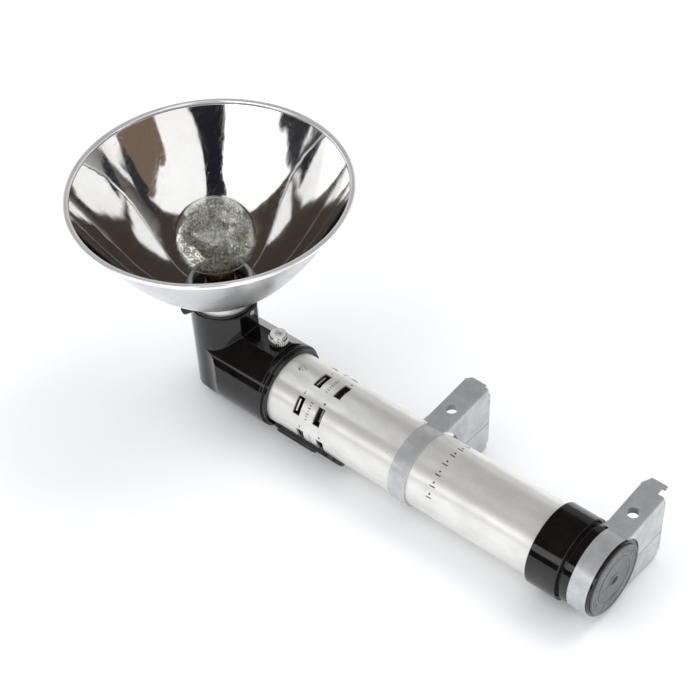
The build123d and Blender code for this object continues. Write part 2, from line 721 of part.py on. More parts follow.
def make_cap_rivet():
    return x_cylinder(2.3, CAP_FLOOR - 0.5, FLANGE_END - 1.2)


def make_spring_seat():
    return x_ring(3.0, 12.0, CAP_FLOOR - 0.85, CAP_FLOOR - 0.1)


def make_battery_spring():
    start = CELL_START + 2 * (CELL_NUB + CELL_BODY) + 0.1
    length = CAP_FLOOR - 0.9 - start
    return Pos(start, 0, 0) * Rot(0, 90, 0) * coil(8.5, 0.6, length, 5)


# ---------------------------------------------------------------- export

def export(node, shape):
    """Move a piece into the flashgun's own frame and write it."""
    placed = Location((-MIDDLE_X, 0, AXIS_HEIGHT)) * shape
    export_step(placed, f"parts/{node}.step")


PIECES = {
    "tube": make_tube(),
    "tube_screw": make_tube_screw(),
    "outlet_block": make_outlet_block(),
    "outlet_contacts": make_outlet_contacts(),
    "centre_contact": make_centre_contact(),
    "positive_contact": make_positive_contact(),
    "battery_cell_front": make_battery_cell(CELL_START),
    "battery_cell_rear": make_battery_cell(CELL_START + CELL_NUB + CELL_BODY),
    "battery_liner": make_battery_liner(),
    "switch_plate": make_switch_plate(),
    "switch_leaf": make_switch_leaf(),
    "switch_button": make_switch_button(),
    "switch_spring": make_switch_spring(),
    "head_housing": make_head_housing(),
    "head_rod": make_head_rod(),
    "terminal_block": make_terminal_block(),
    "terminal_stud": make_terminal_stud(),
    "neck_screw": make_neck_screw(),
    "lock_knob": make_lock_knob(),
    "lock_screw": make_lock_screw(),
    "release_lever": make_release_lever(),
    "reflector_bowl": make_reflector_bowl(),
    "reflector_neck": make_reflector_neck(),
    "reflector_collar": make_reflector_collar(),
    "neck_flange": make_neck_flange(),
    "socket_insulator": make_socket_insulator(),
    "socket_shell": make_socket_shell(),
    "socket_rivet": make_socket_rivet(),
    "socket_plunger": make_socket_plunger(),
    "plunger_spring": make_plunger_spring(),
    "bulb_glass": make_bulb_glass(),
    "bulb_foil": make_bulb_foil(),
    "bulb_leads": make_bulb_leads(),
    "bulb_base": make_bulb_base(),
    "bulb_insulator": make_bulb_insulator(),
    "bulb_tip": make_bulb_tip(),
    "middle_clamp": make_clamp(MIDDLE_CLAMP_X, MIDDLE_WEB_REACH, MIDDLE_SHOULDER, False),
    "base_clamp": make_clamp(BASE_CLAMP_X, BASE_WEB_REACH, BASE_SHOULDER, True),
    "base_sleeve": make_base_sleeve(),
    "base_cap": make_base_cap(),
    "end_disc": make_end_disc(),
    "cap_rivet": make_cap_rivet(),
    "spring_seat": make_spring_seat(),
    "battery_spring": make_battery_spring(),
}

os.makedirs("parts", exist_ok=True)
for node, piece in PIECES.items():
    export(node, piece)
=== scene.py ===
import json
import math
import random

import bmesh
import bpy
from mathutils import Matrix, Vector


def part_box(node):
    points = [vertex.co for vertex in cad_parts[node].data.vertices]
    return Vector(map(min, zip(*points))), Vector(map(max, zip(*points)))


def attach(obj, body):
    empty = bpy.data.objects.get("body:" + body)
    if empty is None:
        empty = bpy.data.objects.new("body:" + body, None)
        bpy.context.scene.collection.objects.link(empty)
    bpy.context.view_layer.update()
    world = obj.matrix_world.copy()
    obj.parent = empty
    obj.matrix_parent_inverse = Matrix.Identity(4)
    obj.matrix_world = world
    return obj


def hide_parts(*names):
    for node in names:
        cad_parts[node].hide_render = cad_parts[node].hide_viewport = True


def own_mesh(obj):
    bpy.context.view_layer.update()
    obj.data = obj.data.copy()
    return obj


# Press-camera flashgun. Metres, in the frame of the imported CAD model: +X runs along the battery
# case towards its base, +Z is the reflector's axis, and the floor is z = 0.
# An angle "round the tube" is measured from +Z towards -Y.

MM = 0.001
DEGREES = 180 / math.pi     # degrees in a radian
BOWL_FOCUS = 17.85 * MM
BOWL_WALL = 0.8 * MM
BEAD_R = 1.45 * MM
NECK_R = 15.1 * MM
GLOBE_WALL = 0.6 * MM
AMBER_HEIGHT = 10 * MM      # of the amber stain above the lower end of the glass
OUTLET_ANGLES = (-52.7, 0.0, 52.7, 105.4)
OUTLET_MIDDLES = (-16.13 * MM, -13.03 * MM, -16.13 * MM, -13.03 * MM)
SLOT_PITCH = 12.7 * MM
AXIS_HEIGHT = 22.4 * MM
SIGN_TURN = -21.5           # degrees from an outlet's middle to its minus and plus marks
TICK_TURN = 4.6             # degrees from one tick between the slots to the next
MARK_BAND_X = 60.7 * MM     # where a row of generic marks runs round the tube
MARK_BAND_START = 71.0
MARK_BAND_STEP = -18.0
BOWL_STEPS = 84
BEAD_STEPS = 25
FOIL_STRANDS = 2600
FOIL_GAP = 0.5 * MM         # between the foil and the glass
FOIL_TWIST = 0.35           # how far a ribbon's flat side turns at each step
FOIL_SWAY = 0.36            # how far its heading turns at each step
FOIL_STRIDE = 0.62          # length of a step in mm
CAMERA_TARGET = (-35.3 * MM, 38.0 * MM, 22.4 * MM)
CAMERA_DISTANCE = 910.5 * MM
CAMERA_TURN = 42.72
CAMERA_RISE = 44.93
CAMERA_ROLL = -3.32
CAMERA_LENS = 91.70
FLOOR_REACH = 4.0
CEILING_SLOPE = 1.25

# Colours of the studio's sky
BRIGHT_WALL = (1.0, 0.995, 0.985)
FRONT_WINDOW = (1.9, 1.88, 1.84)
DARK_CEILING = (0.050, 0.038, 0.031)
GREY_WALL = (0.40, 0.39, 0.37)
BROWN_SHADE = (0.17, 0.125, 0.09)
BLUE_BLACK = (0.012, 0.012, 0.018)
NEAR_BLACK = (0.03, 0.03, 0.035)
ROOM_LIGHT = (0.86, 0.885, 0.92)


# ---------------------------------------------------------------- shader helpers

def shader(name, colour, metallic, roughness, **sockets):
    """New material with a Principled shader; sockets are given by name with _ for a space."""
    mat = bpy.data.materials.new(name)
    mat.use_nodes = True
    bsdf = mat.node_tree.nodes["Principled BSDF"]
    bsdf.inputs["Base Color"].default_value = (*colour, 1)
    bsdf.inputs["Metallic"].default_value = metallic
    bsdf.inputs["Roughness"].default_value = roughness
    for key, value in sockets.items():
        bsdf.inputs[key.replace("_", " ")].default_value = value
    mat.diffuse_color = (*colour, 1)
    return mat


def socket(mat, name):
    return mat.node_tree.nodes["Principled BSDF"].inputs[name]


def node(mat, kind, **values):
    found = mat.node_tree.nodes.new(kind)
    for key, value in values.items():
        setattr(found, key, value)
    return found


def link(mat, source, target):
    mat.node_tree.links.new(source, target)


def coordinates(mat, stretch=(1, 1, 1), shift=(0, 0, 0), turn=(0, 0, 0)):
    """Object coordinates, moved and stretched: stretch is the pattern's repeats per metre."""
    source = node(mat, "ShaderNodeTexCoord")
    mapping = node(mat, "ShaderNodeMapping")
    mapping.inputs["Location"].default_value = shift
    mapping.inputs["Rotation"].default_value = turn
    mapping.inputs["Scale"].default_value = stretch
    link(mat, source.outputs["Object"], mapping.inputs["Vector"])
    return mapping.outputs["Vector"]


def noise(mat, vector, detail, rough=0.5, scale=1.0):
    found = node(mat, "ShaderNodeTexNoise")
    found.inputs["Scale"].default_value = scale
    found.inputs["Detail"].default_value = detail
    found.inputs["Roughness"].default_value = rough
    link(mat, vector, found.inputs["Vector"])
    return found.outputs["Fac"]


def even_noise(mat, repeats, detail, rough=0.5):
    """Noise with the same number of repeats per metre in every direction."""
    return noise(mat, coordinates(mat, (repeats, repeats, repeats)), detail, rough)


def remap(mat, value, low, high, to_low=0.0, to_high=1.0):
    """Smooth change from to_low to to_high as the value goes from low to high."""
    found = node(mat, "ShaderNodeMapRange", interpolation_type="SMOOTHSTEP")
    limits = {"From Min": low, "From Max": high, "To Min": to_low, "To Max": to_high}
    for key, number in limits.items():
        found.inputs[key].default_value = number
    link(mat, value, found.inputs["Value"])
    return found.outputs["Result"]


def combine(mat, operation, first, second=0):
    """Math node on one or two values; either may be a plain number."""
    found = node(mat, "ShaderNodeMath", operation=operation)
    for slot, value in zip(found.inputs, (first, second)):
        if isinstance(value, (int, float)):
            slot.default_value = value
        else:
            link(mat, value, slot)
    return found.outputs["Value"]


def mix(mat, factor, first, second):
    """Mix of two colours, each a tuple or a socket."""
    found = node(mat, "ShaderNodeMix", data_type="RGBA")
    link(mat, factor, found.inputs["Factor"])
    for slot, value in zip((found.inputs[6], found.inputs[7]), (first, second)):
        if isinstance(value, tuple):
            slot.default_value = (*value, 1)
        else:
            link(mat, value, slot)
    return found.outputs[2]


def bump(mat, height, strength, depth, under=None):
    found = node(mat, "ShaderNodeBump")
    found.inputs["Strength"].default_value = strength
    found.inputs["Distance"].default_value = depth
    link(mat, height, found.inputs["Height"])
    if under is not None:
        link(mat, under, found.inputs["Normal"])
    return found.outputs["Normal"]


def rounded(mat, radius):
    """Normal that rounds sharp edges over a radius."""
    found = node(mat, "ShaderNodeBevel", samples=4)
    found.inputs["Radius"].default_value = radius
    return found.outputs["Normal"]


def edge_mask(mat, radius):
    """1 close to a sharp edge and 0 on open surface, for rubbing and painted edge highlights."""
    bevel = rounded(mat, radius)
    flat = node(mat, "ShaderNodeNewGeometry")
    dot = node(mat, "ShaderNodeVectorMath", operation="DOT_PRODUCT")
    link(mat, bevel, dot.inputs[0])
    link(mat, flat.outputs["Normal"], dot.inputs[1])
    return remap(mat, dot.outputs["Value"], 0.995, 0.9)


def scratches(mat, count, density, width):
    """Fine straight scratches in several directions: 1 on a scratch."""
    total = None
    for i in range(count):
        turn = (0.9 * i + 0.4, 1.7 * i + 0.3, 2.3 * i)
        vector = coordinates(mat, (density, density / 34, density / 34), (i * 3.7, i, 0), turn)
        line = noise(mat, vector, 1.5, 0.4)
        mask = remap(mat, line, 0.70 - width, 0.74)
        total = mask if total is None else combine(mat, "MAXIMUM", total, mask)
    return total


# ---------------------------------------------------------------- materials

def satin_tube():
    """Satin plated tube: fine turning lines round it, faint stains and small specks."""
    brushed = {"Anisotropic": 0.8, "Anisotropic_Rotation": 0.25}
    mat = shader("satin_tube", (0.80, 0.79, 0.765), 0.6, 0.36, **brushed)
    round_axis = node(mat, "ShaderNodeTangent", direction_type="RADIAL", axis="X")
    link(mat, round_axis.outputs["Tangent"], socket(mat, "Tangent"))
    rings = noise(mat, coordinates(mat, (9000, 60, 60)), 2.0)
    cloud = noise(mat, coordinates(mat, (60, 130, 130)), 5.0, 0.6)
    grain = even_noise(mat, 2400, 2.0)
    speck = remap(mat, even_noise(mat, 420, 2.0), 0.74, 0.78)
    tint = mix(mat, remap(mat, cloud, 0.3, 0.7), (0.84, 0.83, 0.80), (0.74, 0.725, 0.69))
    tint = mix(mat, combine(mat, "MULTIPLY", speck, 0.45), tint, (0.30, 0.28, 0.25))
    link(mat, tint, socket(mat, "Base Color"))
    rough = remap(mat, cloud, 0.3, 0.75, 0.32, 0.40)
    rough = combine(mat, "ADD", rough, combine(mat, "MULTIPLY", speck, 0.2))
    link(mat, rough, socket(mat, "Roughness"))
    lines = combine(mat, "ADD", rings, combine(mat, "MULTIPLY", grain, 0.8))
    normal = bump(mat, lines, 0.10, 0.02 * MM, rounded(mat, 0.15 * MM))
    link(mat, normal, socket(mat, "Normal"))
    return mat


def bakelite(name, colour, gloss, wave):
    """Polished phenolic moulding: deep black, slightly wavy, with hairlines, and edges lightened
    partly as rubbing and partly as painted highlight.
    """
    mat = shader(name, colour, 0.0, gloss, Specular_IOR_Level=0.5)
    cloud = even_noise(mat, 90, 5.0, 0.6)
    hair = scratches(mat, 3, 3600, 0.015)
    edge = edge_mask(mat, 0.35 * MM)
    tint = mix(mat, remap(mat, cloud, 0.35, 0.7), colour, (0.007, 0.0055, 0.005))
    # Painted highlight along the edges, partly rubbing: the edges are lightened towards grey.
    tint = mix(mat, combine(mat, "MULTIPLY", edge, 0.45), tint, (0.13, 0.125, 0.12))
    tint = mix(mat, combine(mat, "MULTIPLY", hair, 0.05), tint, (0.10, 0.10, 0.10))
    link(mat, tint, socket(mat, "Base Color"))
    rough = remap(mat, cloud, 0.3, 0.75, gloss * 0.75, gloss * 1.6)
    rough = combine(mat, "ADD", rough, combine(mat, "MULTIPLY", hair, 0.06))
    link(mat, rough, socket(mat, "Roughness"))
    swell = even_noise(mat, 70, 2.0)
    normal = bump(mat, swell, wave, 1.0 * MM, rounded(mat, 0.3 * MM))
    link(mat, normal, socket(mat, "Normal"))
    return mat


def mirror():
    """Polished inside of the bowl: a mirror with wiping scratches and a light haze in patches."""
    mat = shader("mirror_bowl", (0.93, 0.93, 0.93), 1.0, 0.03)
    hair = scratches(mat, 6, 9000, 0.02)
    haze = even_noise(mat, 38, 5.0, 0.6)
    rough = remap(mat, haze, 0.35, 0.8, 0.015, 0.07)
    rough = combine(mat, "ADD", rough, combine(mat, "MULTIPLY", hair, 0.13))
    link(mat, rough, socket(mat, "Roughness"))
    tint = mix(mat, remap(mat, haze, 0.3, 0.75), (0.95, 0.95, 0.945), (0.88, 0.875, 0.86))
    link(mat, tint, socket(mat, "Base Color"))
    ripple = noise(mat, coordinates(mat, (52, 52, 34)), 2.0)
    normal = bump(mat, ripple, 0.16, 0.5 * MM)
    link(mat, bump(mat, hair, 0.05, 0.02 * MM, normal), socket(mat, "Normal"))
    return mat


def spun_satin(name, colour, rough, metallic=1.0):
    """Satin plated sheet, spun: soft cloudy sheen with fine grain."""
    mat = shader(name, colour, metallic, rough)
    cloud = even_noise(mat, 45, 4.0, 0.6)
    grain = noise(mat, coordinates(mat, (1800, 1800, 3600)), 3.0)
    dark = tuple(0.88 * c for c in colour)
    tint = mix(mat, remap(mat, cloud, 0.3, 0.7), colour, dark)
    link(mat, tint, socket(mat, "Base Color"))
    link(mat, remap(mat, cloud, 0.3, 0.75, rough * 0.85, rough * 1.25), socket(mat, "Roughness"))
    link(mat, bump(mat, grain, 0.12, 0.02 * MM), socket(mat, "Normal"))
    return mat


def zinc(name, colour, rough):
    """Dull zinc-plated stamping: mottled grey, lightened along folds and edges as painted highlight
    and partly rubbing.
    """
    mat = shader(name, colour, 0.6, rough)
    cloud = even_noise(mat, 120, 6.0, 0.65)
    grain = even_noise(mat, 1500, 3.0, 0.6)
    pits = remap(mat, even_noise(mat, 520, 2.0), 0.70, 0.76)
    edge = edge_mask(mat, 0.5 * MM)
    dark = tuple(0.80 * c for c in colour)
    light = tuple(min(1.0, 1.28 * c) for c in colour)
    tint = mix(mat, remap(mat, cloud, 0.32, 0.68), colour, dark)
    tint = mix(mat, combine(mat, "MULTIPLY", pits, 0.5), tint, (0.22, 0.21, 0.20))
    # Painted highlight along the folds and edges, partly rubbing: the edges are lightened.
    tint = mix(mat, combine(mat, "MULTIPLY", edge, 0.75), tint, light)
    link(mat, tint, socket(mat, "Base Color"))
    spread = remap(mat, cloud, 0.3, 0.75, rough * 0.85, rough * 1.2)
    spread = combine(mat, "SUBTRACT", spread, combine(mat, "MULTIPLY", edge, 0.14))
    link(mat, spread, socket(mat, "Roughness"))
    link(mat, bump(mat, grain, 0.25, 0.03 * MM, rounded(mat, 0.25 * MM)), socket(mat, "Normal"))
    return mat


def turned(name, colour, rough, tarnish=(0.3, 0.28, 0.25)):
    """Small turned or pressed metal piece, bright with light tarnish in patches."""
    mat = shader(name, colour, 1.0, rough)
    cloud = even_noise(mat, 330, 5.0, 0.6)
    grain = even_noise(mat, 3600, 2.0)
    tint = mix(mat, remap(mat, cloud, 0.52, 0.80, 0.0, 0.7), colour, tarnish)
    link(mat, tint, socket(mat, "Base Color"))
    link(mat, remap(mat, cloud, 0.3, 0.8, rough * 0.8, rough * 1.7), socket(mat, "Roughness"))
    link(mat, bump(mat, grain, 0.15, 0.02 * MM, rounded(mat, 0.12 * MM)), socket(mat, "Normal"))
    return mat


def moulded(name, colour, rough, edge_rub_and_highlight):
    """Matt moulded or painted piece with fine grain, and edges lightened in patches, partly rubbing
    and partly painted highlight.
    """
    mat = shader(name, colour, 0.0, rough)
    cloud = even_noise(mat, 160, 5.0, 0.6)
    grain = even_noise(mat, 1400, 3.0, 0.6)
    edge = edge_mask(mat, 0.3 * MM)
    light = tuple(min(1.0, c * 1.6 + 0.01) for c in colour)
    tint = mix(mat, remap(mat, cloud, 0.35, 0.7), colour, light)
    # Painted edge highlight, partly rubbing: edges are lightened in patches.
    rubbed_and_highlit = combine(mat, "MULTIPLY", combine(mat, "MULTIPLY", edge, cloud), edge_rub_and_highlight)
    tint = mix(mat, rubbed_and_highlit, tint, tuple(min(1.0, c * 3 + 0.12) for c in colour))
    link(mat, tint, socket(mat, "Base Color"))
    link(mat, remap(mat, cloud, 0.3, 0.75, rough * 0.85, rough * 1.2), socket(mat, "Roughness"))
    link(mat, bump(mat, grain, 0.3, 0.04 * MM, rounded(mat, 0.2 * MM)), socket(mat, "Normal"))
    return mat


def cell_wrap():
    """Printed-card battery wrap in plain bands, without any lettering."""
    mat = shader("cell_case", (0.10, 0.13, 0.22), 0.2, 0.4)
    band = noise(mat, coordinates(mat, (22, 0.1, 0.1)), 0.0)
    fibre = even_noise(mat, 900, 4.0)
    tint = mix(mat, remap(mat, band, 0.49, 0.51), (0.09, 0.12, 0.20), (0.55, 0.16, 0.08))
    tint = mix(mat, remap(mat, fibre, 0.3, 0.8, 0.0, 0.3), tint, (0.4, 0.38, 0.34))
    link(mat, tint, socket(mat, "Base Color"))
    link(mat, bump(mat, fibre, 0.2, 0.05 * MM), socket(mat, "Normal"))
    return mat


def bulb_glass(amber_below):
    """Clear lacquered glass that turns amber towards the cement at its neck."""
    mat = shader("clear_glass", (0.96, 0.97, 0.95), 0.0, 0.02, IOR=1.47, Transmission_Weight=1.0)
    place = node(mat, "ShaderNodeSeparateXYZ")
    source = node(mat, "ShaderNodeTexCoord")
    link(mat, source.outputs["Object"], place.inputs["Vector"])
    low = remap(mat, place.outputs["Z"], amber_below - 5 * MM, amber_below + 7 * MM, 1.0, 0.0)
    film = even_noise(mat, 110, 3.0)
    tint = mix(mat, low, (0.97, 0.98, 0.965), (0.80, 0.62, 0.36))
    link(mat, tint, socket(mat, "Base Color"))
    link(mat, remap(mat, film, 0.35, 0.8, 0.0, 0.05), socket(mat, "Roughness"))
    link(mat, bump(mat, film, 0.08, 0.4 * MM), socket(mat, "Normal"))
    return mat


def foil_shred():
    """Shredded aluminium foil, bright with straw-coloured and grey strands."""
    mat = shader("foil", (0.80, 0.79, 0.74), 0.55, 0.25)
    strand = even_noise(mat, 1300, 2.0)
    tint = mix(mat, remap(mat, strand, 0.42, 0.60), (0.99, 0.99, 0.96), (0.50, 0.46, 0.31))
    link(mat, tint, socket(mat, "Base Color"))
    link(mat, remap(mat, strand, 0.3, 0.7, 0.16, 0.42), socket(mat, "Roughness"))
    link(mat, bump(mat, strand, 0.4, 0.1 * MM), socket(mat, "Normal"))
    return mat


def end_plate():
    """Matt dark grey moulded end disc, with a band of fine radial ribs coloured lighter and darker
    in turn.
    """
    mat = moulded("end_plate", (0.115, 0.115, 0.118), 0.45, 0.9)
    place = node(mat, "ShaderNodeSeparateXYZ")
    link(mat, coordinates(mat, (1, 1, 1), (0, 0, -AXIS_HEIGHT)), place.inputs["Vector"])
    turn = combine(mat, "ARCTAN2", place.outputs["Z"], place.outputs["Y"])
    ribs = combine(mat, "SINE", combine(mat, "MULTIPLY", turn, 66.0))
    squares = []
    for axis in ("Y", "Z"):
        squares.append(combine(mat, "MULTIPLY", place.outputs[axis], place.outputs[axis]))
    radius = combine(mat, "SQRT", combine(mat, "ADD", *squares))
    band = combine(mat, "ABSOLUTE", combine(mat, "SUBTRACT", radius, 14.6 * MM))
    band = remap(mat, band, 1.5 * MM, 1.8 * MM, 1.0, 0.0)
    rib = combine(mat, "MULTIPLY", remap(mat, ribs, -0.2, 0.2), band)
    colour = socket(mat, "Base Color")
    plain = colour.links[0].from_socket
    light = combine(mat, "MULTIPLY", rib, 0.75)
    link(mat, mix(mat, light, plain, (0.30, 0.30, 0.295)), colour)
    return mat


def make_materials(amber_below):
    return {
        "satin_tube": satin_tube(),
        "black_bakelite": bakelite("black_bakelite", (0.0028, 0.0025, 0.0030), 0.07, 0.05),
        "mirror_bowl": mirror(),
        "silver_neck": spun_satin("silver_neck", (0.86, 0.85, 0.83), 0.26, 0.5),
        "zinc_clamp": zinc("zinc_clamp", (0.60, 0.61, 0.62), 0.36),
        "nickel": turned("nickel", (0.80, 0.79, 0.77), 0.16),
        "steel_screw": turned("steel_screw", (0.62, 0.61, 0.59), 0.22),
        "brass": turned("brass", (0.82, 0.62, 0.30), 0.24, (0.30, 0.20, 0.10)),
        "black_insulator": moulded("black_insulator", (0.022, 0.017, 0.014), 0.38, 0.3),
        "black_switch": moulded("black_switch", (0.010, 0.010, 0.011), 0.30, 0.5),
        "end_plate": end_plate(),
        "cell_case": cell_wrap(),
        "cell_paper": moulded("cell_paper", (0.42, 0.34, 0.24), 0.8, 0.2),
        "clear_glass": bulb_glass(amber_below),
        "foil": foil_shred(),
        "spring_steel": turned("spring_steel", (0.55, 0.55, 0.55), 0.28),
    }


# ---------------------------------------------------------------- mesh helpers

def new_object(name, mesh, mats):
    found = bpy.data.objects.new(name, mesh)
    bpy.context.scene.collection.objects.link(found)
    for mat in mats:
        mesh.materials.append(mat)
    return found


def lathe(name, rings, mats, segments):
    """Closed surface of revolution about Z. Each ring is its radius, height and material."""
    mesh = bpy.data.meshes.new(name)
    work = bmesh.new()
    angles = [2 * math.pi * i / segments for i in range(segments)]
    loops = []
    for radius, height, _ in rings:
        around = [(radius * math.cos(a), radius * math.sin(a), height) for a in angles]
        loops.append([work.verts.new(spot) for spot in around])
    count = len(rings)
    for k in range(count):
        here = loops[k]
        there = loops[(k + 1) % count]
        for i in range(segments):
            j = (i + 1) % segments
            face = work.faces.new((here[i], here[j], there[j], there[i]))
            face.smooth = True
            face.material_index = rings[k][2]
    bmesh.ops.recalc_face_normals(work, faces=work.faces)
    work.to_mesh(mesh)
    work.free()
    return new_object(name, mesh, mats)


def tube_patch(work, radius, middle, x, angle, along, across):
    """Thin raised ink patch on the tube: along is its length in X, across its width in metres."""
    half = math.degrees(across / radius) / 2
    steps = max(2, int(half * 2 / 2.5) + 1)
    rows = []
    for lift in (-0.02 * MM, 0.025 * MM):
        for side in (-along / 2, along / 2):
            row = []
            for i in range(steps + 1):
                turn = math.radians(angle - half + 2 * half * i / steps)
                spot = (x + side, middle[1] - (radius + lift) * math.sin(turn),
                        middle[2] + (radius + lift) * math.cos(turn))
                row.append(work.verts.new(spot))
            rows.append(row)
    low_a, low_b, top_a, top_b = rows
    for i in range(steps):
        work.faces.new((top_a[i], top_b[i], top_b[i + 1], top_a[i + 1]))
        work.faces.new((low_a[i], low_a[i + 1], low_b[i + 1], low_b[i]))
        work.faces.new((low_a[i], top_a[i], top_a[i + 1], low_a[i + 1]))
        work.faces.new((low_b[i], low_b[i + 1], top_b[i + 1], top_b[i]))
    work.faces.new((low_a[0], low_b[0], top_b[0], top_a[0]))
    work.faces.new((low_a[-1], top_a[-1], top_b[-1], low_b[-1]))


def make_marks(radius, middle, mat):
    """Generic marks: minus and plus by two outlets, bars between slots and a row of ticks."""
    mesh = bpy.data.meshes.new("tube_marks")
    work = bmesh.new()
    thin = 0.42 * MM

    def mark(x, angle, along, across):
        tube_patch(work, radius, middle, x, angle, along, across)

    for outlet, (angle, x) in enumerate(zip(OUTLET_ANGLES, OUTLET_MIDDLES)):
        for step in range(-3, 4):
            tall = 1.5 * MM if (step + outlet) % 2 else 0.8 * MM
            mark(x, angle + step * TICK_TURN, tall, thin)
        sign = angle + SIGN_TURN
        mark(x - SLOT_PITCH / 2, sign, thin, 1.5 * MM)
        mark(x + SLOT_PITCH / 2, sign, thin, 1.5 * MM)
        mark(x + SLOT_PITCH / 2, sign, 1.5 * MM, thin)
    for step in range(7):
        angle = MARK_BAND_START + MARK_BAND_STEP * step
        mark(MARK_BAND_X, angle, 3.0 * MM, 0.55 * MM)
        mark(MARK_BAND_X, angle - 6.0, 0.9 * MM, 0.9 * MM)
    bmesh.ops.recalc_face_normals(work, faces=work.faces)
    work.to_mesh(mesh)
    work.free()
    return new_object("tube_marks", mesh, [mat])


def make_bowl(low, high, mats):
    """Spun bowl with a rolled edge: satin outside, mirror inside."""
    rim = (high.x - low.x) / 2
    vertex = low.z - NECK_R ** 2 / (4 * BOWL_FOCUS)
    roll = high.z - BEAD_R
    reach = math.sqrt(4 * BOWL_FOCUS * (roll - vertex))
    rings = []
    for i in range(BOWL_STEPS + 1):
        radius = NECK_R + (reach - NECK_R) * i / BOWL_STEPS
        rings.append((radius, vertex + radius ** 2 / (4 * BOWL_FOCUS), 0))
    for i in range(1, BEAD_STEPS):
        turn = math.radians(-60 + 250 * i / BEAD_STEPS)
        where = (rim - BEAD_R + BEAD_R * math.cos(turn), roll + BEAD_R * math.sin(turn), 2)
        rings.append(where)
    start = reach - 0.75 * MM
    rings.append((rim - 2 * BEAD_R - 0.15 * MM, roll - 0.5 * MM, 1))
    for i in range(BOWL_STEPS + 1):
        radius = start - (start - NECK_R - 0.01 * MM) * i / BOWL_STEPS
        slope = radius / (2 * BOWL_FOCUS)
        rise = BOWL_WALL * math.sqrt(1 + slope ** 2)
        rings.append((radius, vertex + radius ** 2 / (4 * BOWL_FOCUS) + rise, 1))
    found = lathe("spun_bowl", rings, mats, 288)
    found.location = ((low.x + high.x) / 2, (low.y + high.y) / 2, 0)
    return found


def random_vector(dice):
    return Vector((dice.gauss(0, 1), dice.gauss(0, 1), dice.gauss(0, 1)))


def make_foil(middle, radius, mat):
    """Shredded foil that fills the globe: many thin crinkled ribbons in one mesh."""
    dice = random.Random(7)
    mesh = bpy.data.meshes.new("foil_shreds")
    verts = []
    faces = []
    for _ in range(FOIL_STRANDS):
        spot = random_vector(dice).normalized()
        spot *= radius * dice.uniform(0.62, 1.0) ** 0.5
        heading = random_vector(dice).normalized()
        width = dice.uniform(0.08, 0.17) * MM
        side = heading.cross(Vector((0.3, 0.5, 0.8))).normalized()
        start = len(verts)
        steps = dice.randint(3, 8)
        for i in range(steps + 1):
            side = (side + random_vector(dice) * FOIL_TWIST).normalized()
            verts.append(middle + spot + side * width)
            verts.append(middle + spot - side * width)
            heading += random_vector(dice) * FOIL_SWAY
            out = spot.length / radius
            if out > 0.9:           # close to the glass a ribbon turns back inwards
                heading -= spot.normalized() * (out - 0.86) * 7
            heading.normalize()
            spot = spot + heading * FOIL_STRIDE * MM
            if spot.length > radius:
                spot *= radius / spot.length
            if i:
                last = start + 2 * i
                faces.append((last - 2, last - 1, last + 1, last))
    mesh.from_pydata([tuple(v) for v in verts], [], faces)
    mesh.validate()
    for face in mesh.polygons:
        face.use_smooth = True
    return new_object("foil_shreds", mesh, [mat])


def make_spring(name, body):
    """Copy of a CAD spring that stands on a body."""
    source = frame["nodes"][name]
    found = new_object(name + "_coil", source.data.copy(), [])
    found.matrix_world = source.matrix_world
    for face in found.data.polygons:
        face.use_smooth = True
    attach(found, body)
    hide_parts(name)
    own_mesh(found)


# ---------------------------------------------------------------- studio

